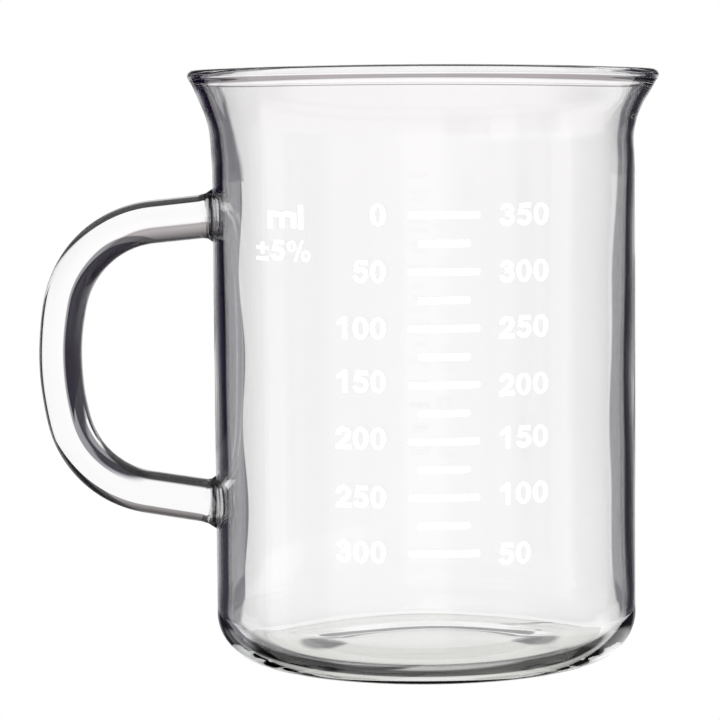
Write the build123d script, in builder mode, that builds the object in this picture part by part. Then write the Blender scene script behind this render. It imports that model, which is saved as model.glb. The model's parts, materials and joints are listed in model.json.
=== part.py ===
"""Graduated laboratory beaker with a fused glass-rod handle.

A flared, beaded borosilicate cup stands on a flat foot ring around a kicked base. A bent solid
rod is welded to its side at two collars, and a double millilitre scale is fired on its front in
white enamel. Millimetres, +Z up. The origin is the centre of the foot ring, on the surface that
the beaker stands on. The front of the scale faces -Y and the handle reaches towards -X.
"""

import os
from math import cos, radians, sin, tan

from build123d import *

# ---- Cup ----
body_radius = 40.0  # outside of the straight wall
wall = 1.9  # thickness of the wall
height = 112.4  # top of the rim bead
heel_radius = 8.5  # outside rounding between foot ring and wall
inner_heel_radius = 6.8
floor_thickness = 2.6  # over the foot ring
kick_height = 0.7  # rise of the underside in the middle
kick_flat_radius = 15.5  # flat middle of the kick
kick_radius = 27.0  # where the kick meets the foot ring
flare_start = 97.4  # height where the wall begins to open
flare_radius = 20.0  # outside radius of the flare's arc
flare_angle = 25.5  # how far the flare leans from upright, degrees
rim_radius = 44.5  # outermost point of the bead
bead_radius = 1.25
bead_blend = 0.8  # fillet where the bead meets the wall

# ---- Handle ----
rod_radius = 4.15
grip_reach = 69.2  # axis of the beaker to the outermost point of the grip's centre line
grip_bulge = 6.2  # how far the grip bows out from the corners it would make with the arms
upper_root = 84.2  # heights where the arms' centre lines meet the wall
lower_root = 29.5
upper_droop = 5.6  # slope of the upper arm, falling away from the wall, degrees
lower_rise = 9.1  # slope of the lower arm, rising away from the wall, degrees
upper_bend = 19.1  # bend radii of the rod's centre line
lower_bend = 18.4
weld_length = 2.2  # rod end to wall, filled by the weld collar
weld_flare = 0.95  # how much wider the collar is at the wall

# ---- Enamel scale ----
enamel = 0.08  # thickness of the fired print
scale_centre = 2.65  # middle of the lines, sideways from the cup's axis
print_lean = 0.4  # the print was wrapped on this far off upright, degrees
print_middle = 55.4  # height about which it leans
first_line = 25.1  # height of the lowest long line
step = 10.1  # height between long lines
step_volume = 50  # millilitres between long lines
line_width = 1.2
line_corner = 0.45  # rounding of a line's corners
long_line = 12.8
short_line = 9.3
digit_height = 4.0
digit_gap = 0.35
contents_left = 12.5  # left edge of the contents numerals
space_right = -7.75  # right edge of the remaining-space numerals
# how far each numeral sits above its own line, from the lowest line up
contents_lift = (-0.4, 0.35, 0.4, -0.2, 0.0, -0.1, -0.1)
space_lift = (0.25, 0.1, 0.55, 0.65, 0.1, 0.1, 0.1)
unit_height = 4.4
unit_place = (-28.75, 85.2)  # left edge and middle height of the unit mark
unit_gap = 0.4
tolerance_height = 3.7
tolerance_place = (-30.9, 79.1)
tolerance_gap = 0.42

parts_folder = "parts"


def finish(piece, name):
    """Label a piece and write it as its own STEP file."""
    piece.part.label = name
    export_step(piece.part, f"{parts_folder}/{name}.step")


# ---------------------------------------------------------------- cup


def make_vessel():
    """The blown cup, turned from one wall section."""
    inner_radius = body_radius - wall
    foot_radius = body_radius - heel_radius
    inner_foot_radius = inner_radius - inner_heel_radius
    flare_centre = (body_radius + flare_radius, flare_start)
    bead_centre = (rim_radius - bead_radius, height - bead_radius)
    # both faces of the flare run straight on, side by side, to the middle of the bead
    lean = radians(flare_angle)
    run = (bead_centre[1] - flare_start - flare_radius * sin(lean)) / cos(lean)

    with BuildPart() as vessel:
        with BuildSketch(Plane.XZ) as section:
            with BuildLine():
                underside = Line((0, kick_height), (kick_flat_radius, kick_height))
                middle = (kick_flat_radius + kick_radius) / 2
                kick = Bezier(underside @ 1, (middle, kick_height), (middle, 0), (kick_radius, 0))
                foot = Line(kick @ 1, (foot_radius, 0))
                heel = CenterArc((foot_radius, heel_radius), heel_radius, 270, 90)
                outer_wall = Line(heel @ 1, (body_radius, flare_start))
                outer_flare = CenterArc(flare_centre, flare_radius, 180, -flare_angle)
                outer_lip = Line(outer_flare @ 1, outer_flare @ 1 + (outer_flare % 1) * run)
                inner_flare = CenterArc(flare_centre, flare_radius + wall, 180, -flare_angle)
                inner_lip = Line(inner_flare @ 1, inner_flare @ 1 + (inner_flare % 1) * run)
                Line(outer_lip @ 1, inner_lip @ 1)
                inner_heel_height = floor_thickness + inner_heel_radius
                inner_heel = CenterArc(
                    (inner_foot_radius, inner_heel_height), inner_heel_radius, 270, 90
                )
                Line(inner_heel @ 1, inner_flare @ 0)
                floor = Line(inner_heel @ 0, (0, floor_thickness))
                Line(floor @ 1, underside @ 0)
            make_face()
            with Locations(bead_centre):
                Circle(bead_radius)
            near_bead = section.vertices().sort_by_distance(bead_centre)
            joints = [v for v in near_bead if abs(_distance(v, bead_centre) - bead_radius) < 0.01]
            fillet(joints, bead_blend)
        revolve(axis=Axis.Z)
    return vessel


def _distance(vertex, centre):
    """Distance of a section corner from a point given as (radius, height)."""
    return (Vector(vertex.X, vertex.Y) - Vector(*centre)).length


# ---------------------------------------------------------------- handle


def arm_start(root_height, slope):
    """Where the rod starts beside the wall. slope is the arm's rise away from the wall."""
    out = weld_length
    return (-body_radius - out * cos(radians(slope)), root_height + out * sin(radians(slope)))


def arm_corner(root_height, slope):
    """Where an arm's centre line would meet the grip's, were the bend sharp."""
    reach = grip_reach - grip_bulge
    return (-reach, root_height + (reach - body_radius) * tan(radians(slope)))


def make_handle():
    """The solid rod, bent into a D whose grip bows outwards."""
    upper_corner = arm_corner(upper_root, -upper_droop)
    lower_corner = arm_corner(lower_root, lower_rise)
    outermost = (-grip_reach, (upper_corner[1] + lower_corner[1]) / 2)
    with BuildPart() as handle:
        with BuildLine(Plane.XZ) as path:
            Line(arm_start(upper_root, -upper_droop), upper_corner)
            ThreePointArc(upper_corner, outermost, lower_corner)
            Line(lower_corner, arm_start(lower_root, lower_rise))
            for corner, bend in ((upper_corner, upper_bend), (lower_corner, lower_bend)):
                place = Vector(corner[0], 0, corner[1])
                fillet(path.vertices().sort_by_distance(place)[0], bend)
        with BuildSketch(Plane(origin=path.wire() @ 0, z_dir=path.wire() % 0)):
            Circle(rod_radius)
        sweep(path=path.wire())
    return handle


def make_weld(root_height, slope):
    """A collar of glass between a rod end and the wall, widening towards the wall."""
    start = arm_start(root_height, slope)
    towards_wall = (cos(radians(slope)), 0, -sin(radians(slope)))
    across = (sin(radians(slope)), 0, cos(radians(slope)))
    collar_plane = Plane(
        origin=(start[0], 0, start[1]),
        x_dir=towards_wall,
        z_dir=Vector(*towards_wall).cross(Vector(*across)),
    )
    wide = rod_radius + weld_flare
    buried = weld_length + wall
    with BuildPart() as weld:
        with BuildSketch(collar_plane):
            with BuildLine():
                axis_line = Line((0, 0), (buried, 0))
                Line(axis_line @ 1, (buried, wide))
                Line((buried, wide), (weld_length, wide))
                flank = Bezier((weld_length, wide), (weld_length * 0.4, rod_radius), (0, rod_radius))
                Line(flank @ 1, axis_line @ 0)
            make_face()
        revolve(axis=Axis((start[0], 0, start[1]), towards_wall))
        with Locations((0, 0, height / 2)):
            Cylinder(body_radius, height, mode=Mode.SUBTRACT)
    return weld


# ---------------------------------------------------------------- lettering
# Heavy sans-serif characters at a cap height of 1, centred on the middle of that height. Each
# numeral stands in a cell of its own, all of one width.

stroke = 0.205  # width of a numeral's stroke
cap = 0.5  # half the cap height
cell = 0.69  # width of a numeral's cell
arc_top = cap - stroke / 2  # centre line of the highest stroke


def draw_zero():
    """A ring, narrower than it is high."""
    with BuildSketch() as glyph:
        Ellipse(cell / 2, cap)
        Ellipse(cell / 2 - stroke, 0.335, mode=Mode.SUBTRACT)
    return glyph.sketch


def draw_one():
    """A stem with a flag."""
    with BuildSketch() as glyph:
        with Locations((0.07, 0)):
            Rectangle(stroke, 2 * cap)
        Polygon((0.02, cap), (-0.28, 0.28), (-0.28, 0.09), (0.02, 0.24), align=None)
    return glyph.sketch


def draw_two():
    """A hook that runs down into a straight foot."""
    with BuildSketch() as glyph:
        with BuildLine():
            hook = ThreePointArc((-0.235, 0.15), (0, arc_top), (0.235, 0.19))
            neck = ThreePointArc(hook @ 1, (0.17, 0.01), (0.02, -0.14))
            Line(neck @ 1, (-0.22, -0.37))
        trace(line_width=stroke)
        with Locations((0, -arc_top)):
            Rectangle(cell, stroke)
    return glyph.sketch


def draw_three():
    """Two open bowls, one above the other."""
    with BuildSketch() as glyph:
        with BuildLine():
            upper = ThreePointArc((-0.225, 0.21), (0, arc_top), (0.2, 0.23))
            ThreePointArc(upper @ 1, (0.13, 0.095), (-0.07, 0.045))
        trace(line_width=stroke)
        with BuildLine():
            waist = ThreePointArc((-0.07, 0.045), (0.15, -0.01), (0.235, -0.18))
            ThreePointArc(waist @ 1, (0, -arc_top), (-0.235, -0.18))
        trace(line_width=stroke)
    return glyph.sketch


def draw_five():
    """A bowl hung from a short stem and a bar."""
    bowl = 0.25  # radius of the bowl's centre line
    with BuildSketch() as glyph:
        with Locations((0.06, arc_top)):
            Rectangle(0.5, stroke)
        Polygon((-0.19, cap), (-0.29, -0.02), (-0.12, 0.06), (0.0, cap), align=None)
        with BuildLine():
            CenterArc((-0.01, bowl - arc_top), bowl, 195, 300)
        trace(line_width=stroke)
    return glyph.sketch


def draw_m():
    """Three stems under two arches."""
    x_height = 0.73
    spacing = 0.485
    arch_height = x_height - cap - stroke / 2
    with BuildSketch() as glyph:
        with Locations((0, x_height / 2 - cap)):
            with GridLocations(spacing, 0, 3, 1):
                Rectangle(stroke, x_height * 0.86)
        with Locations((-spacing, x_height / 2 - cap)):
            Rectangle(stroke, x_height)
        for side in (-1, 1):
            with BuildLine():
                ThreePointArc(
                    ((side - 1) * spacing / 2, 0),
                    (side * spacing / 2, arch_height),
                    ((side + 1) * spacing / 2, 0),
                )
            trace(line_width=stroke)
    return glyph.sketch


def draw_l():
    """One stem."""
    with BuildSketch() as glyph:
        Rectangle(stroke, 2 * cap)
    return glyph.sketch


def draw_plus_minus():
    """A cross above a bar."""
    bar = 0.17  # its thinner strokes
    with BuildSketch() as glyph:
        with Locations((0, 0.12)):
            Rectangle(0.6, bar)
            Rectangle(bar, 0.6)
        with Locations((0, bar / 2 - cap)):
            Rectangle(0.6, bar)
    return glyph.sketch


def draw_percent():
    """Two small rings either side of a slanted bar."""
    with BuildSketch() as glyph:
        with Locations((-0.35, 0.23), (0.35, -0.23)):
            Ellipse(0.225, 0.27)
        with Locations((-0.35, 0.23), (0.35, -0.23)):
            Ellipse(0.08, 0.14, mode=Mode.SUBTRACT)
        Polygon((-0.25, -cap), (-0.12, -cap), (0.25, cap), (0.12, cap), align=None)
    return glyph.sketch


GLYPHS = {
    "0": draw_zero(),
    "1": draw_one(),
    "2": draw_two(),
    "3": draw_three(),
    "5": draw_five(),
    "m": draw_m(),
    "l": draw_l(),
    "±": draw_plus_minus(),
    "%": draw_percent(),
}


def lettering(text, cap_height, gap):
    """A row of characters whose left edge is at x = 0."""
    with BuildSketch() as row:
        pen = 0
        for character in text:
            glyph = GLYPHS[character].scale(cap_height)
            box = glyph.bounding_box()
            width = cell * cap_height if character.isdigit() else box.size.X
            with Locations((pen + width / 2, 0)):
                add(glyph)
            pen += width + gap
    return row.sketch


# ---------------------------------------------------------------- enamel


def make_enamel(outline, centre):
    """Print an outline on the front of the cup, laid out as it is read from straight in front."""
    skin_radius = body_radius + enamel
    with BuildPart() as mark:
        with BuildSketch(Plane.XZ):
            with Locations(centre):
                add(outline)
        extrude(amount=skin_radius)
        with Locations((0, 0, height / 2)):
            Cylinder(skin_radius, height, mode=Mode.INTERSECT)
            Cylinder(body_radius, height, mode=Mode.SUBTRACT)
    return mark


def line_outline(length):
    """A graduation line with rounded corners."""
    with BuildSketch() as outline:
        RectangleRounded(length, line_width, line_corner)
    return outline.sketch


def leaning(place):
    """Where a place in the upright layout comes to lie on the slightly leaning print."""
    sideways, up = place
    return (sideways + (up - print_middle) * tan(radians(print_lean)), up)


def make_graduations():
    """Long lines with a numeral on each side, and a short line in each gap."""
    lines = len(contents_lift)
    digit_cell = cell * digit_height
    for row in range(lines):
        contents = (row + 1) * step_volume
        space = (lines - 1 - row) * step_volume
        line_height = first_line + row * step
        place = leaning((scale_centre, line_height))
        finish(make_enamel(line_outline(long_line), place), f"line_{contents}")
        if row < lines - 1:
            place = leaning((scale_centre, line_height + step / 2))
            half_step = contents + step_volume // 2
            finish(make_enamel(line_outline(short_line), place), f"line_{half_step}")
        numeral = lettering(str(contents), digit_height, digit_gap)
        place = leaning((contents_left, line_height + contents_lift[row]))
        finish(make_enamel(numeral, place), f"contents_{contents}")
        numeral = lettering(str(space), digit_height, digit_gap)
        length = len(str(space)) * (digit_cell + digit_gap) - digit_gap
        place = leaning((space_right - length, line_height + space_lift[row]))
        finish(make_enamel(numeral, place), f"space_{space}")


def make_marks():
    """The unit and the accuracy of the scale."""
    unit = lettering("ml", unit_height, unit_gap)
    finish(make_enamel(unit, unit_place), "unit_mark")
    tolerance = lettering("±5%", tolerance_height, tolerance_gap)
    finish(make_enamel(tolerance, tolerance_place), "tolerance_mark")


os.makedirs(parts_folder, exist_ok=True)
finish(make_vessel(), "vessel")
finish(make_handle(), "handle")
finish(make_weld(upper_root, -upper_droop), "upper_weld")
finish(make_weld(lower_root, lower_rise), "lower_weld")
make_graduations()
make_marks()
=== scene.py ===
"""The look of the graduated glass beaker: clear glass, fired enamel, a pale studio and a camera.

Metres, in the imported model's own frame: the cup stands on z = 0 around the z axis, the scale faces
-Y and the handle reaches towards -X.
"""

import json
from math import cos, pi, radians, sin, tan

import bmesh
import bpy
import numpy as np
from mathutils import Matrix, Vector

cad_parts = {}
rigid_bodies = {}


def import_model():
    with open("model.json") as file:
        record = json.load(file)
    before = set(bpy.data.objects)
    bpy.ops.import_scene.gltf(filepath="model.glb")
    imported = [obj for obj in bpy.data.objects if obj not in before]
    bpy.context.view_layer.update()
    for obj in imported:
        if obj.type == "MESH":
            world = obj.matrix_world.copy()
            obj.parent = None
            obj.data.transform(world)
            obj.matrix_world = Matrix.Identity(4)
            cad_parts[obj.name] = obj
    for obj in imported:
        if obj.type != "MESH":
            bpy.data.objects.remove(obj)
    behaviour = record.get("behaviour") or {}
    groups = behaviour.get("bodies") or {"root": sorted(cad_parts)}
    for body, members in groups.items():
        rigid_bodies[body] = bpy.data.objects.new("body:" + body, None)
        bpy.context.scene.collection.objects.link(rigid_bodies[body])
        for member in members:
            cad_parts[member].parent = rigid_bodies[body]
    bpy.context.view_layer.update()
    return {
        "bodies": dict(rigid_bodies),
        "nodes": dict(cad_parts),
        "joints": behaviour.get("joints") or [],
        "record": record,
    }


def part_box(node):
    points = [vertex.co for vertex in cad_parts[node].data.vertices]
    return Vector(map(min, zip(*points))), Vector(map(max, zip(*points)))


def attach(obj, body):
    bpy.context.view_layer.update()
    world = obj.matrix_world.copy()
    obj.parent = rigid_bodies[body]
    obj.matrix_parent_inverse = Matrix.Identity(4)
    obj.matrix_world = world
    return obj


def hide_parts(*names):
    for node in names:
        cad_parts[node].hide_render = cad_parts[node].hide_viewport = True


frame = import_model()

MM = 0.001

# ---- Cup: the CAD section's driving sizes ----
BODY_RADIUS = 40.0 * MM
WALL = 1.9 * MM
HEEL_RADIUS = 8.5 * MM
INNER_HEEL_RADIUS = 6.8 * MM
FLOOR_THICKNESS = 2.6 * MM
KICK_HEIGHT = 0.7 * MM
KICK_FLAT_RADIUS = 15.5 * MM
KICK_RADIUS = 27.0 * MM
FLARE_START = 97.4 * MM
FLARE_RADIUS = 20.0 * MM
FLARE_ANGLE = radians(25.5)
BEAD_RADIUS = 1.25 * MM
RIM_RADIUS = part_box("vessel")[1][0]
CUP_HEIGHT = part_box("vessel")[1][2]
RIM_DIP = 0.9 * MM  # the fire-polished rim sits this much lower at its left and right
RIM_TILT = 0.19 * MM  # and leans down by this much on the right
FLARE_SHIFT = 0.28 * MM  # the bend under the flare stands off centre, towards the handle
# how far the inside of the wall stands out at four heights, both in millimetres
RIGHT_WALL = ((14, 50, 78, 97), (0.0, -0.25, 0.08, 0.33))
LEFT_WALL = ((14, 50, 78, 97), (-0.28, -0.30, -0.16, 0.05))
RIPPLE = 0.035 * MM
# the heights between which these come in or fade away
WAVE_RISE = (3 * MM, 14 * MM)
WAVE_FALL = (100 * MM, 108 * MM)
DIP_RISE = (96 * MM, 110 * MM)
SHIFT_RISE = (93 * MM, 99 * MM)
SHIFT_FALL = (104 * MM, 110 * MM)

# ---- Handle: the rod's centre line ----
ROD_RADIUS = 4.15 * MM
GRIP_REACH = 69.2 * MM
GRIP_BULGE = 6.2 * MM
UPPER_ROOT = 84.2 * MM
LOWER_ROOT = 29.5 * MM
UPPER_SLOPE = radians(-5.6)  # rise of each arm away from the wall
LOWER_SLOPE = radians(9.1)
UPPER_BEND = 19.1 * MM
LOWER_BEND = 18.4 * MM
WELD_LENGTH = 2.2 * MM
WELD_FLARE = 0.95 * MM
WELD_CURVE = 2.2  # the power by which the collar narrows away from the wall
WELD_RIB = 0.05 * MM  # faint ribs round the collars
WELD_RIBS = 2
OVERLAP = 0.04 * MM  # fused pieces run this far into each other, so no film of air is left
ROD_WAIST = 0.012  # share by which the rod is thinner round its bends
ROD_RIPPLE = 0.04 * MM

# ---- Mesh density ----
CUP_TURNS = 288
ROD_TURNS = 64
COLLAR_RINGS = 22
ARM_POINTS = 12
BEND_POINTS = 44
GRIP_POINTS = 16
FLARE_POINTS = 26
BEAD_POINTS = 16
# sides of the disc that paints shade under the cup
SHADE_SHEET_TURNS = 96

# ---- Materials ----
GLASS_IOR = 1.474  # borosilicate
GLASS_TINT = (0.86, 0.95, 0.90)
GLASS_DENSITY = 3.0  # of the tint, per metre
GLASS_RELIEF = 0.03 * MM
ENAMEL_WHITE = (0.93, 0.93, 0.92)
ENAMEL_ROUGHNESS = 0.38
ENAMEL_RELIEF = 0.02 * MM

# ---- Camera ----
CAMERA_PLACE = (-12.3 * MM, -610.0 * MM, 111.8 * MM)
CAMERA_PITCH = radians(5.185)  # looking down
CAMERA_ROLL = radians(-0.5)
CAMERA_LENS = 160.95  # millimetres on a 36 mm frame

# ---- Studio: directions are degrees to the right of +Y, heights degrees above level ----
PANE_GREY = 0.31  # brightness of a window beside its white middle
PANE_END = (19.0, 22.0)  # where the grey pane gives way to the frame, from the window's middle
FRAME_DARK = 0.04  # brightness of a frame
FRAME_FADE = 8.0  # width of its soft outer edge
WHITE_HALF = 8.1  # half the width of a window's white middle
WHITE_EDGE = 0.7  # half the width of that middle's soft edge
MAIN_TURN = 1.9  # middle of the window behind the main view
MAIN_WHITE = 11.1  # half the width of its white middle
MAIN_FRAME = 58.0  # half the width of its frame
OTHER_FRAME = 30.0  # and of every other frame
OTHER_WINDOWS = (-90.0, 135.0)
LOW_WINDOWS = (-45.0, 135.0)
LOW_END = (-17.0, -13.0)  # heights between which the low windows give way to the others
BEHIND = (95.0, 105.0)  # from here back the windows are faint
BEHIND_SHARE = 0.45
BEHIND_FADE = (60.0, 130.0)  # and the room darkens a little
BEHIND_LEVEL = 0.75
DIM_RISE = (50.0, 65.0)  # directions of the dim right-hand side
DIM_FALL = (140.0, 170.0)
DIM_CLIMB = (-14.0, -5.0)
DIM_SHARE = 0.85
TABLE_TURN = (80.0, 110.0)  # directions and heights of the table top on the camera's side
TABLE_CLIMB = (-36.0, -30.0)
TABLE_LEVEL = 0.75
GREYS = (  # brightness of a window, its colour
    (0.0, (0.0, 0.0, 0.0)),
    (0.05, (0.048, 0.044, 0.060)),
    (0.31, (0.300, 0.305, 0.325)),
    (1.0, (1.0, 1.0, 1.0)),
)
SKY = (  # height in degrees, colour
    (-78, (0.90, 0.90, 0.90)),
    (-64, (0.60, 0.60, 0.60)),
    (-57, (0.04, 0.04, 0.04)),
    (-33, (0.04, 0.04, 0.04)),
    (-30.5, (0.55, 0.55, 0.55)),
    (-28, (1.0, 1.0, 1.0)),
    (5.5, (1.02, 1.0, 1.0)),
    (9, (0.40, 0.37, 0.38)),
    (13, (0.48, 0.44, 0.45)),
    (24, (0.31, 0.29, 0.29)),
    (38, (0.11, 0.10, 0.10)),
    (50, (0.14, 0.13, 0.13)),
    (64, (0.70, 0.70, 0.70)),
    (78, (0.95, 0.95, 0.95)),
)
CARDS = (  # name, (x, y) of the left and right end, bottom, top, colour
    ("white_card", (-0.0605, 0.150), (0.0705, 0.150), -0.012, 0.083, (1.0, 1.0, 1.0)),
    ("left_card", (-0.75, 0.211), (-0.114, 0.211), 0.012, 0.30, (0.010, 0.006, 0.018)),
    ("left_foot", (-0.75, 0.211), (-0.285, 0.211), -0.14, 0.012, (0.010, 0.006, 0.018)),
    ("right_card", (0.114, 0.211), (0.402, 0.211), -0.03, 0.30, (0.026, 0.026, 0.034)),
)
SHADE_SHEET_DROP = 0.4 * MM  # how far the sheet of painted shade lies below the cup's foot
PAINTED_SHADOWS = (  # centre and half-size of the painted shadow's darkest spots on that sheet
    ((-20.0 * MM, -6.0 * MM), (4.0 * MM, 8.0 * MM)),
    ((20.8 * MM, -5.0 * MM), (4.0 * MM, 8.0 * MM)),
    ((14.0 * MM, 24.0 * MM), (12.0 * MM, 1.0 * MM)),
)
SPOT_EDGE = (0.6, 1.4)  # shares of a spot's half-size between which it fades
PAINTED_SHADE_TONES = (  # painted shade, what the sheet lets through
    (0.05, (0.70, 0.71, 0.67)),
    (0.6, (0.01, 0.01, 0.01)),
)
FLOOR_HALF = 3.0
FLOOR_DROP = 0.02 * MM
KEY_ENERGY = 5.5
KEY_SPREAD = radians(30)
KEY_TURN = (radians(60), 0, radians(-15))
LIGHT_BOUNCES = 32
MIRROR_BOUNCES = 16


# ---------------------------------------------------------------- curves


def arc(centre, radius, start, end, points):
    """Points along a circular arc in the (radius, height) plane. Angles in degrees."""
    angles = np.radians(np.linspace(start, end, points))
    return np.stack([centre[0] + radius * np.cos(angles), centre[1] + radius * np.sin(angles)], 1)


def line(start, end, points):
    """Evenly spaced points from start to end."""
    share = np.linspace(0, 1, points)[:, None]
    return np.array(start) * (1 - share) + np.array(end) * share


def bezier(a, b, c, d, points):
    """Points along a cubic Bezier curve."""
    t = np.linspace(0, 1, points)[:, None]
    a, b, c, d = (np.array(p) for p in (a, b, c, d))
    return a * (1 - t) ** 3 + 3 * b * t * (1 - t) ** 2 + 3 * c * t**2 * (1 - t) + d * t**3


def bearing(centre, point):
    """Direction of a point from a centre, in degrees."""
    across, up = point - centre
    return np.degrees(np.arctan2(up, across))


def joined(*stretches):
    """One polyline from several that meet end to end."""
    kept = [stretches[0]]
    for stretch in stretches[1:]:
        kept.append(stretch[1:])
    return np.concatenate(kept)


def eased(polyline, centre, reach, passes):
    """Rounds the corners of a polyline inside a circle, as a flame does."""
    points = polyline.copy()
    near = np.linalg.norm(points - np.array(centre), axis=1) < reach
    near[[0, -1]] = False
    for _ in range(passes):
        middle = (np.roll(points, 1, axis=0) + np.roll(points, -1, axis=0)) / 2
        points[near] = (points[near] + middle[near]) / 2
    return points


def smoothstep(low, high, value):
    """0 below low, 1 above high, and a smooth rise between."""
    share = np.clip((value - low) / (high - low), 0, 1)
    return share * share * (3 - 2 * share)


# ---------------------------------------------------------------- meshes


def new_piece(name, vertices, faces):
    """A smooth mesh object whose vertices are in the frame's own coordinates."""
    mesh = bpy.data.meshes.new(name)
    mesh.from_pydata([tuple(v) for v in vertices], [], faces)
    mesh.validate()
    mesh.shade_smooth()
    piece = bpy.data.objects.new(name, mesh)
    bpy.context.scene.collection.objects.link(piece)
    return piece


def ring_faces(rings, turns):
    """Quads between neighbouring rings of points."""
    faces = []
    for ring in range(rings - 1):
        low = ring * turns
        for turn in range(turns):
            after = (turn + 1) % turns
            faces.append((low + turn, low + after, low + turns + after, low + turns + turn))
    return faces


def closed_tube(name, rings, start, end):
    """A closed mesh through rings of equally many points, each end drawn in to one point."""
    turns = len(rings[0])
    faces = ring_faces(len(rings), turns)
    last = (len(rings) - 1) * turns
    start_point = len(rings) * turns
    end_point = start_point + 1
    for turn in range(turns):
        after = (turn + 1) % turns
        faces.append((start_point, after, turn))
        faces.append((end_point, last + turn, last + after))
    return new_piece(name, [*np.concatenate(rings), start, end], faces)


# ---------------------------------------------------------------- cup


def cup_section():
    """The wall's section as (radius, height) points, and how many are on its outer half.

    The outer half runs from the axis along the underside and up to the top of the bead, the inner
    half from there down to the axis again.
    """
    foot_radius = BODY_RADIUS - HEEL_RADIUS
    inner_radius = BODY_RADIUS - WALL
    inner_foot = (inner_radius - INNER_HEEL_RADIUS, FLOOR_THICKNESS + INNER_HEEL_RADIUS)
    bead = np.array((RIM_RADIUS - BEAD_RADIUS, CUP_HEIGHT - BEAD_RADIUS))
    flare_centre = np.array((BODY_RADIUS + FLARE_RADIUS, FLARE_START))
    lean = np.array((sin(FLARE_ANGLE), cos(FLARE_ANGLE)))
    across = np.array((-lean[1], lean[0]))

    def flare(radius):
        """The flare's arc, and the point where its straight lip meets the bead."""
        bend = arc(flare_centre, radius, 180, 180 - np.degrees(FLARE_ANGLE), FLARE_POINTS)
        offset = float((bend[-1] - bead) @ across)
        depth = np.sqrt(max(BEAD_RADIUS**2 - offset**2, 0.0))
        return bend, bead + across * offset - lean * depth

    outer_bend, outer_meeting = flare(FLARE_RADIUS)
    inner_bend, inner_meeting = flare(FLARE_RADIUS + WALL)
    kick_middle = (KICK_FLAT_RADIUS + KICK_RADIUS) / 2
    outer = joined(
        line((0, KICK_HEIGHT), (KICK_FLAT_RADIUS, KICK_HEIGHT), points=8),
        bezier(
            (KICK_FLAT_RADIUS, KICK_HEIGHT), (kick_middle, KICK_HEIGHT),
            (kick_middle, 0), (KICK_RADIUS, 0), points=26,
        ),
        line((KICK_RADIUS, 0), (foot_radius, 0), points=5),
        arc((foot_radius, HEEL_RADIUS), HEEL_RADIUS, -90, 0, points=30),
        line((BODY_RADIUS, HEEL_RADIUS), (BODY_RADIUS, FLARE_START), points=40),
        outer_bend,
        line(outer_bend[-1], outer_meeting, points=6),
        arc(bead, BEAD_RADIUS, bearing(bead, outer_meeting), 90, BEAD_POINTS),
    )
    inner = joined(
        arc(bead, BEAD_RADIUS, 90, bearing(bead, inner_meeting) % 360, BEAD_POINTS),
        line(inner_meeting, inner_bend[-1], points=6),
        inner_bend[::-1],
        line((inner_radius, FLARE_START), (inner_radius, inner_foot[1]), points=60),
        arc(inner_foot, INNER_HEEL_RADIUS, 0, -90, points=26),
        line((inner_foot[0], FLOOR_THICKNESS), (0, FLOOR_THICKNESS), points=24),
    )
    section = eased(joined(outer, inner), bead, reach=2.6 * BEAD_RADIUS, passes=4)
    return section, len(outer)


def wall_wave(angle, height):
    """How far the inside of the wall stands out from its round shape: blown glass is uneven.

    The wall is thin at the top right, thick half-way up and on the left, and faintly rippled by
    two waves that twist around it.
    """
    right = np.polyval(np.polyfit(*RIGHT_WALL, 3), height / MM)
    left = np.polyval(np.polyfit(*LEFT_WALL, 3), height / MM)
    slow = (right * (1 + np.cos(angle)) + left * (1 - np.cos(angle))) / 2
    ripple = np.sin(3 * angle + height / (6.6 * MM)) * np.cos(height / (15 * MM) + 1.2)
    ripple += 0.4 * np.sin(7 * angle + 2.0) * np.sin(height / (4.7 * MM) + 3 * angle)
    return slow * MM + RIPPLE * ripple


def make_cup():
    """The blown cup: its section turned about the axis, uneven inside and dipping at the rim."""
    section, outer_count = cup_section()
    section = section[1:-1]  # the two ends lie on the axis and become single points
    lip_points = 24  # over these, from the rim inwards, the wall starts to be uneven
    angles = np.linspace(0, 2 * pi, CUP_TURNS, endpoint=False)
    rings = []
    for index, (radius, height) in enumerate(section):
        inside = smoothstep(outer_count, outer_count + lip_points, index)
        on_wall = smoothstep(*WAVE_RISE, height) * (1 - smoothstep(*WAVE_FALL, height))
        around = radius + wall_wave(angles, height) * inside * on_wall
        dip = RIM_DIP * np.cos(angles) ** 2 + RIM_TILT * np.cos(angles)
        dip *= smoothstep(*DIP_RISE, height)
        bent = smoothstep(*SHIFT_RISE, height) * (1 - smoothstep(*SHIFT_FALL, height))
        across = around * np.cos(angles) - FLARE_SHIFT * bent
        rings.append(np.stack([across, around * np.sin(angles), height - dip], 1))
    return closed_tube("glass_cup", rings, (0, 0, KICK_HEIGHT), (0, 0, FLOOR_THICKNESS))


# ---------------------------------------------------------------- handle


def arm_root(root_height, slope, out):
    """A point on an arm's centre line, out metres from the wall, in the (x, z) plane."""
    return np.array((-BODY_RADIUS - out * cos(slope), root_height + out * sin(slope)))


def grip_circle():
    """Centre and radius of the shallow arc that the grip follows between its two bends."""
    rise = GRIP_REACH - GRIP_BULGE - BODY_RADIUS
    upper = UPPER_ROOT + rise * tan(UPPER_SLOPE)
    lower = LOWER_ROOT + rise * tan(LOWER_SLOPE)
    radius = (((upper - lower) / 2) ** 2 + GRIP_BULGE**2) / (2 * GRIP_BULGE)
    return np.array((radius - GRIP_REACH, (upper + lower) / 2)), radius


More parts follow.
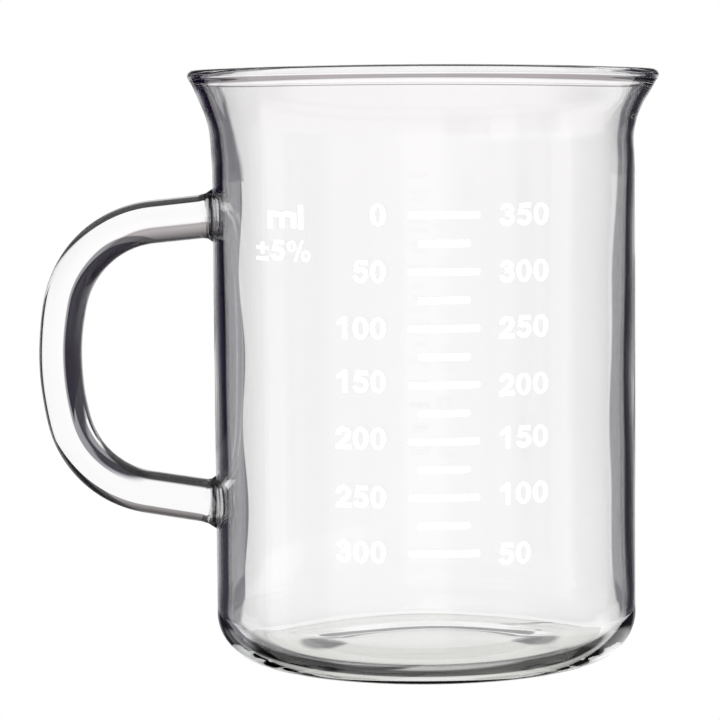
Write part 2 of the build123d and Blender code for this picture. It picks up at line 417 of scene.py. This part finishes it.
def bend_points(root_height, slope, side, bend, points):
    """The arc from an arm into the grip. side is 1 for the lower arm and -1 for the upper."""
    grip_centre, grip_radius = grip_circle()
    root = arm_root(root_height, slope, 0)
    along = np.array((-cos(slope), sin(slope)))
    inwards = side * np.array((sin(slope), cos(slope)))
    offset = root + inwards * bend - grip_centre
    ahead = offset @ along
    reach = np.sqrt(ahead**2 - offset @ offset + (grip_radius - bend) ** 2) - ahead
    centre = root + inwards * bend + along * reach
    towards_grip = (centre - grip_centre) / np.linalg.norm(centre - grip_centre)
    turn = np.arccos(np.clip(-inwards @ towards_grip, -1, 1))
    share = np.linspace(0, 1, points)[:, None]
    spokes = -inwards * np.sin((1 - share) * turn) + towards_grip * np.sin(share * turn)
    return centre + spokes / np.sin(turn) * bend


def rod_line():
    """The rod's centre line from its upper to its lower end."""
    upper = arm_root(UPPER_ROOT, UPPER_SLOPE, WELD_LENGTH)
    lower = arm_root(LOWER_ROOT, LOWER_SLOPE, WELD_LENGTH)
    upper_bend = bend_points(UPPER_ROOT, UPPER_SLOPE, -1, UPPER_BEND, BEND_POINTS)
    lower_bend = bend_points(LOWER_ROOT, LOWER_SLOPE, 1, LOWER_BEND, BEND_POINTS)[::-1]
    grip_centre, grip_radius = grip_circle()
    start = bearing(grip_centre, upper_bend[-1]) % 360
    end = bearing(grip_centre, lower_bend[0]) % 360
    return joined(
        line(upper, upper_bend[0], ARM_POINTS),
        upper_bend,
        arc(grip_centre, grip_radius, start, end, GRIP_POINTS),
        lower_bend,
        line(lower_bend[-1], lower, ARM_POINTS),
    )


def rod_rings(centres, radii):
    """Rings of points around a centre line in the y = 0 plane."""
    along = np.gradient(centres, axis=0)
    along /= np.linalg.norm(along, axis=1)[:, None]
    side = np.stack([-along[:, 1], along[:, 0]], 1)
    angles = np.linspace(0, 2 * pi, ROD_TURNS, endpoint=False)
    rings = []
    for centre, across, radius in zip(centres, side, radii):
        reach = radius * np.cos(angles)
        depth = radius * np.sin(angles)
        rings.append(
            np.stack([centre[0] + across[0] * reach, depth, centre[1] + across[1] * reach], 1)
        )
    return rings


def collar_rings(root_height, slope, side):
    """Rings of a weld collar from the wall to the rod; the first one follows the cup.

    side is -1 for the upper collar and 1 for the lower one, as the rod's rings run.
    """
    out = np.array((-cos(slope), 0, sin(slope)))
    up = np.array((sin(slope), 0, cos(slope)))
    root = np.array((-BODY_RADIUS, 0, root_height))
    angles = np.linspace(0, 2 * pi, ROD_TURNS, endpoint=False)
    rings = []
    for share in np.linspace(0, 1, COLLAR_RINGS)[:-1]:
        flare = WELD_FLARE * (1 - share) ** WELD_CURVE
        flare += WELD_RIB * sin(share * WELD_RIBS * pi) ** 2
        radius = ROD_RADIUS + flare
        ring = []
        for angle in angles:
            y = radius * sin(angle)
            rise = side * radius * cos(angle)
            # where this line along the arm meets the cup
            foot_x = -np.sqrt((BODY_RADIUS - OVERLAP) ** 2 - y**2)
            at_wall = (root[0] + up[0] * rise - foot_x) / -out[0]
            reach = at_wall + share * (WELD_LENGTH - at_wall)
            ring.append(root + up * rise + np.array((0, y, 0)) + out * reach)
        rings.append(np.array(ring))
    return rings


def make_handle():
    """The bent rod with a collar at each end, in one run; it is slightly thinner in its bends."""
    centres = rod_line()
    run = np.concatenate([[0], np.cumsum(np.linalg.norm(np.diff(centres, axis=0), axis=1))])
    share = run / run[-1]
    radii = ROD_RADIUS * (1 - ROD_WAIST * np.sin(3 * pi * share) ** 2)
    radii -= ROD_RIPPLE * np.sin(share * pi) * np.sin(share * 23 + 0.6) ** 2
    rings = collar_rings(UPPER_ROOT, UPPER_SLOPE, -1) + rod_rings(centres, radii)
    rings += collar_rings(LOWER_ROOT, LOWER_SLOPE, 1)[::-1]
    in_wall = OVERLAP - BODY_RADIUS
    return closed_tube("glass_handle", rings, (in_wall, 0, UPPER_ROOT), (in_wall, 0, LOWER_ROOT))


def outward(piece):
    """Turns a closed mesh's faces outwards."""
    work = bmesh.new()
    work.from_mesh(piece.data)
    bmesh.ops.recalc_face_normals(work, faces=work.faces)
    work.to_mesh(piece.data)
    work.free()


# ---------------------------------------------------------------- materials


def empty_material(name):
    """A material whose node tree holds only its output."""
    material = bpy.data.materials.new(name)
    material.use_nodes = True
    tree = material.node_tree
    tree.nodes.clear()
    return material, tree, tree.nodes.new("ShaderNodeOutputMaterial")


def new_material(name):
    """A material with a Principled shader."""
    material, tree, output = empty_material(name)
    shader = tree.nodes.new("ShaderNodeBsdfPrincipled")
    tree.links.new(shader.outputs["BSDF"], output.inputs["Surface"])
    return material, tree, output, shader


def noise(tree, scale, detail, stretch=(1, 1, 1)):
    """Noise in the object's own coordinates, stretched along its axes."""
    place = tree.nodes.new("ShaderNodeTexCoord")
    mapping = tree.nodes.new("ShaderNodeMapping")
    mapping.inputs["Scale"].default_value = stretch
    texture = tree.nodes.new("ShaderNodeTexNoise")
    texture.inputs["Scale"].default_value = scale
    texture.inputs["Detail"].default_value = detail
    tree.links.new(place.outputs["Object"], mapping.inputs["Vector"])
    tree.links.new(mapping.outputs["Vector"], texture.inputs["Vector"])
    return texture.outputs["Fac"]


def bumped(tree, shader, heights, distance, strength):
    """Feeds heights, 0 to 1, to a shader's normal as a relief distance metres deep."""
    bump = tree.nodes.new("ShaderNodeBump")
    bump.inputs["Distance"].default_value = distance
    bump.inputs["Strength"].default_value = strength
    tree.links.new(heights, bump.inputs["Height"])
    tree.links.new(bump.outputs["Normal"], shader.inputs["Normal"])


def glass_material(name, ripple_stretch):
    """Clear borosilicate with faint drawn ripples."""
    material, tree, output, shader = new_material(name)
    shader.inputs["Base Color"].default_value = (1.0, 1.0, 1.0, 1)
    shader.inputs["Transmission Weight"].default_value = 1.0
    shader.inputs["Roughness"].default_value = 0.0
    shader.inputs["IOR"].default_value = GLASS_IOR
    absorption = tree.nodes.new("ShaderNodeVolumeAbsorption")
    absorption.inputs["Color"].default_value = (*GLASS_TINT, 1)
    absorption.inputs["Density"].default_value = GLASS_DENSITY
    tree.links.new(absorption.outputs["Volume"], output.inputs["Volume"])
    ripples = noise(tree, scale=60, detail=2, stretch=ripple_stretch)
    bumped(tree, shader, ripples, GLASS_RELIEF, strength=0.5)
    return material


def enamel_material():
    """Fired white ceramic ink: satin, with a fine grain."""
    material, tree, _, shader = new_material("fired_enamel")
    shader.inputs["Base Color"].default_value = (*ENAMEL_WHITE, 1)
    shader.inputs["Roughness"].default_value = ENAMEL_ROUGHNESS
    bumped(tree, shader, noise(tree, scale=2600, detail=3), ENAMEL_RELIEF, strength=0.4)
    return material


# ---------------------------------------------------------------- studio


def make_camera():
    """A long lens level with the rim, looking slightly down at the middle of the cup."""
    data = bpy.data.cameras.new("camera")
    data.lens = CAMERA_LENS
    data.sensor_width = 36
    data.clip_start = 0.01
    data.dof.use_dof = False
    camera = bpy.data.objects.new("camera", data)
    camera.location = CAMERA_PLACE
    tilt = Matrix.Rotation(pi / 2 - CAMERA_PITCH, 3, "X") @ Matrix.Rotation(CAMERA_ROLL, 3, "Z")
    camera.rotation_euler = tilt.to_euler()
    bpy.context.scene.collection.objects.link(camera)
    bpy.context.scene.camera = camera


def math_node(tree, operation, first, second=None, third=None):
    """One Math node; each input is a socket or a number."""
    node = tree.nodes.new("ShaderNodeMath")
    node.operation = operation
    for index, value in enumerate((first, second, third)):
        if value is None:
            continue
        if isinstance(value, (int, float)):
            node.inputs[index].default_value = value
        else:
            tree.links.new(value, node.inputs[index])
    return node.outputs["Value"]


def ramp(tree, value, low, high, at_low, at_high):
    """A smooth change from at_low to at_high as value goes from low to high."""
    node = tree.nodes.new("ShaderNodeMapRange")
    node.interpolation_type = "SMOOTHSTEP"
    for name, setting in (
        ("From Min", low), ("From Max", high), ("To Min", at_low), ("To Max", at_high)
    ):
        node.inputs[name].default_value = setting
    tree.links.new(value, node.inputs["Value"])
    return node.outputs["Result"]


def colour_ramp(tree, value, stops):
    """The colour at a value from 0 to 1, between stops of (place, colour)."""
    node = tree.nodes.new("ShaderNodeValToRGB")
    elements = node.color_ramp.elements
    while len(elements) < len(stops):
        elements.new(0.5)
    for element, (place, colour) in zip(elements, stops):
        element.position = place
        element.color = (*colour, 1)
    tree.links.new(value, node.inputs["Fac"])
    return node.outputs["Color"]


def window(tree, turn, direction, frame, white_half=WHITE_HALF):
    """Brightness by the angle from a window's middle: white, grey, a dark frame, white again."""
    away = math_node(tree, "SUBTRACT", turn, direction)
    away = math_node(tree, "WRAP", away, 180.0, -180.0)
    away = math_node(tree, "ABSOLUTE", away)
    white_end = (white_half - WHITE_EDGE, white_half + WHITE_EDGE)
    white = ramp(tree, away, *white_end, 1.0 - PANE_GREY, 0.0)
    grey = ramp(tree, away, *PANE_END, PANE_GREY - FRAME_DARK, 0.0)
    beyond = ramp(tree, away, frame, frame + FRAME_FADE, 0.0, 1.0)
    inside = math_node(tree, "ADD", math_node(tree, "ADD", white, grey), FRAME_DARK)
    return math_node(tree, "MAXIMUM", inside, beyond)


def sky(tree, climb):
    """Brightness by height in degrees: dark under the cup, a white table, a dusky ceiling."""
    share = math_node(tree, "MULTIPLY_ADD", climb, 1 / 180, 0.5)
    return colour_ramp(tree, share, [(height / 180 + 0.5, colour) for height, colour in SKY])


def product(tree, first, second):
    """Two colours or numbers multiplied together."""
    node = tree.nodes.new("ShaderNodeVectorMath")
    node.operation = "MULTIPLY"
    tree.links.new(first, node.inputs[0])
    tree.links.new(second, node.inputs[1])
    return node.outputs["Vector"]


def mixed(tree, share, low, high):
    """low where share is 0, high where it is 1."""
    part = math_node(tree, "MULTIPLY", high, share)
    rest = math_node(tree, "MULTIPLY", low, math_node(tree, "SUBTRACT", 1.0, share))
    return math_node(tree, "ADD", part, rest)


def windows(tree, turn, aside, climb):
    """Brightness of the room's windows: one set at eye level, another for views from above.

    They are white in the middle, grey towards their dark frames; the frames draw the dark
    outlines of clear glass.
    """
    level = window(tree, turn, MAIN_TURN, MAIN_FRAME, MAIN_WHITE)
    for direction in OTHER_WINDOWS:
        level = math_node(tree, "MINIMUM", level, window(tree, turn, direction, OTHER_FRAME))
    # faint on the camera's side, so the front of the cup mirrors little of them
    level = mixed(tree, ramp(tree, aside, *BEHIND, 0.0, BEHIND_SHARE), level, 1.0)
    left, right = (window(tree, turn, direction, OTHER_FRAME) for direction in LOW_WINDOWS)
    low = math_node(tree, "MINIMUM", left, right)
    return mixed(tree, ramp(tree, climb, *LOW_END, 0.0, 1.0), low, level)


def dimmed(tree, level, turn, aside, climb):
    """The room is dim on its right-hand side above the table, and darker behind the camera."""
    right = math_node(
        tree, "MULTIPLY",
        ramp(tree, turn, *DIM_RISE, 0.0, 1.0), ramp(tree, turn, *DIM_FALL, 1.0, 0.0),
    )
    dim = math_node(tree, "MULTIPLY", right, ramp(tree, climb, *DIM_CLIMB, 0.0, DIM_SHARE))
    level = math_node(tree, "MULTIPLY", level, math_node(tree, "SUBTRACT", 1.0, dim))
    return math_node(tree, "MULTIPLY", level, ramp(tree, aside, *BEHIND_FADE, 1.0, BEHIND_LEVEL))


def make_world():
    """A room that only the glass sees; the camera sees plain white."""
    world = bpy.data.worlds.new("studio")
    bpy.context.scene.world = world
    world.use_nodes = True
    tree = world.node_tree
    tree.nodes.clear()
    place = tree.nodes.new("ShaderNodeTexCoord")
    split = tree.nodes.new("ShaderNodeSeparateXYZ")
    tree.links.new(place.outputs["Generated"], split.inputs["Vector"])
    x, y, z = (split.outputs[axis] for axis in "XYZ")
    turn = math_node(tree, "MULTIPLY", math_node(tree, "ARCTAN2", x, y), 180 / pi)
    aside = math_node(tree, "ABSOLUTE", turn)
    climb = math_node(tree, "MULTIPLY", math_node(tree, "ARCSINE", z), 180 / pi)

    level = dimmed(tree, windows(tree, turn, aside, climb), turn, aside, climb)
    # the table top reaches under the cup from the camera's side
    table = math_node(
        tree, "MULTIPLY",
        ramp(tree, aside, *TABLE_TURN, 0.0, TABLE_LEVEL), ramp(tree, climb, *TABLE_CLIMB, 1.0, 0.0),
    )
    room = tree.nodes.new("ShaderNodeVectorMath")
    room.operation = "MAXIMUM"
    tinted = colour_ramp(tree, level, GREYS)
    tree.links.new(product(tree, sky(tree, climb), tinted), room.inputs[0])
    tree.links.new(table, room.inputs[1])

    light = tree.nodes.new("ShaderNodeBackground")
    tree.links.new(room.outputs["Vector"], light.inputs["Color"])
    backdrop = tree.nodes.new("ShaderNodeBackground")
    backdrop.inputs["Color"].default_value = (1, 1, 1, 1)
    path = tree.nodes.new("ShaderNodeLightPath")
    mix = tree.nodes.new("ShaderNodeMixShader")
    output = tree.nodes.new("ShaderNodeOutputWorld")
    tree.links.new(path.outputs["Is Camera Ray"], mix.inputs["Fac"])
    tree.links.new(light.outputs["Background"], mix.inputs[1])
    tree.links.new(backdrop.outputs["Background"], mix.inputs[2])
    tree.links.new(mix.outputs["Shader"], output.inputs["Surface"])


def glowing(name, colour):
    """A material that shines with one even colour."""
    material, tree, output = empty_material(name)
    light = tree.nodes.new("ShaderNodeEmission")
    light.inputs["Color"].default_value = (*colour, 1)
    tree.links.new(light.outputs["Emission"], output.inputs["Surface"])
    return material


def hide(thing, *kinds):
    """Hides a thing from some kinds of ray."""
    for kind in kinds:
        setattr(thing, f"visible_{kind}", False)


def make_card(name, left, right, bottom, top, colour):
    """An upright studio card between two (x, y) places; the camera doesn't see it."""
    corners = [(*left, bottom), (*right, bottom), (*right, top), (*left, top)]
    card = new_piece(name, corners, [(0, 1, 2, 3)])
    card.data.materials.append(glowing(name, colour))
    hide(card, "camera", "shadow", "diffuse")


def soft_spot(tree, place, centre, size):
    """1 inside an ellipse on the sheet of painted shade, fading to 0 outside it."""
    moved = tree.nodes.new("ShaderNodeVectorMath")
    moved.operation = "SUBTRACT"
    tree.links.new(place, moved.inputs[0])
    moved.inputs[1].default_value = (*centre, 0)
    scaled = tree.nodes.new("ShaderNodeVectorMath")
    scaled.operation = "DIVIDE"
    tree.links.new(moved.outputs["Vector"], scaled.inputs[0])
    scaled.inputs[1].default_value = (*size, 1)
    length = tree.nodes.new("ShaderNodeVectorMath")
    length.operation = "LENGTH"
    tree.links.new(scaled.outputs["Vector"], length.inputs[0])
    return ramp(tree, length.outputs["Value"], *SPOT_EDGE, 1.0, 0.0)


def make_shade_sheet():
    """A grey see-through disc just under the cup, seen only in the glass, which paints shade into
    the glass floor: painted shadow spots and a painted mottle.
    """
    angles = np.linspace(0, 2 * pi, SHADE_SHEET_TURNS, endpoint=False)
    radius = BODY_RADIUS - HEEL_RADIUS / 2
    rim = [(radius * cos(angle), radius * sin(angle), -SHADE_SHEET_DROP) for angle in angles]
    shade_sheet = new_piece("shade_sheet", rim, [tuple(range(SHADE_SHEET_TURNS))])
    material, tree, output = empty_material("shade_sheet")
    sheet = tree.nodes.new("ShaderNodeBsdfTransparent")
    place = tree.nodes.new("ShaderNodeTexCoord")
    shade = None
    for centre, size in PAINTED_SHADOWS:
        shadow = soft_spot(tree, place.outputs["Object"], centre, size)
        shade = shadow if shade is None else math_node(tree, "MAXIMUM", shade, shadow)
    # a mottle in the painted shade
    shade_noise = noise(tree, scale=160, detail=3, stretch=(0.3, 1, 1))
    shade_mottle = math_node(tree, "MULTIPLY_ADD", shade_noise, 0.5, -0.25)
    tone = colour_ramp(tree, math_node(tree, "ADD", shade, shade_mottle), PAINTED_SHADE_TONES)
    tree.links.new(tone, sheet.inputs["Color"])
    tree.links.new(sheet.outputs["BSDF"], output.inputs["Surface"])
    shade_sheet.data.materials.append(material)
    hide(shade_sheet, "camera", "shadow", "diffuse")


def make_floor():
    """A plain pale table top that fades into the white room."""
    half = FLOOR_HALF
    corners = [(-half, -half, 0), (half, -half, 0), (half, half, 0), (-half, half, 0)]
    floor = new_piece("floor", corners, [(0, 1, 2, 3)])
    floor.location.z = -FLOOR_DROP
    floor.data.materials.append(glowing("floor", (1, 1, 1)))
    hide(floor, "diffuse", "glossy", "transmission", "shadow")


def make_lamp():
    """A soft key light from the front that the glass doesn't mirror, so the enamel reads white."""
    data = bpy.data.lights.new("key", "SUN")
    data.energy = KEY_ENERGY
    data.angle = KEY_SPREAD
    lamp = bpy.data.objects.new("key", data)
    lamp.rotation_euler = KEY_TURN
    hide(lamp, "glossy", "transmission")
    bpy.context.scene.collection.objects.link(lamp)


# ---------------------------------------------------------------- assembly

make_camera()
make_world()
for card in CARDS:
    make_card(*card)
# painted shade under the cup, seen through the glass floor
make_shade_sheet()
make_floor()
make_lamp()

cup_glass = glass_material("cup_glass", (1, 1, 0.12))
rod_glass = glass_material("rod_glass", (0.5, 1, 0.5))
glass_nodes = ("vessel", "handle", "upper_weld", "lower_weld")
for piece, material, nodes in (
    (make_cup(), cup_glass, glass_nodes[:1]),
    (make_handle(), rod_glass, glass_nodes[1:]),
):
    outward(piece)
    piece.data.materials.append(material)
    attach(piece, "root")
    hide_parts(*nodes)

enamel = enamel_material()
for node, thing in frame["nodes"].items():
    if node not in glass_nodes:
        for slot in thing.material_slots:
            slot.material = enamel

scene = bpy.context.scene
scene.view_settings.view_transform = "Standard"
scene.cycles.max_bounces = LIGHT_BOUNCES
scene.cycles.transmission_bounces = LIGHT_BOUNCES
scene.cycles.glossy_bounces = MIRROR_BOUNCES
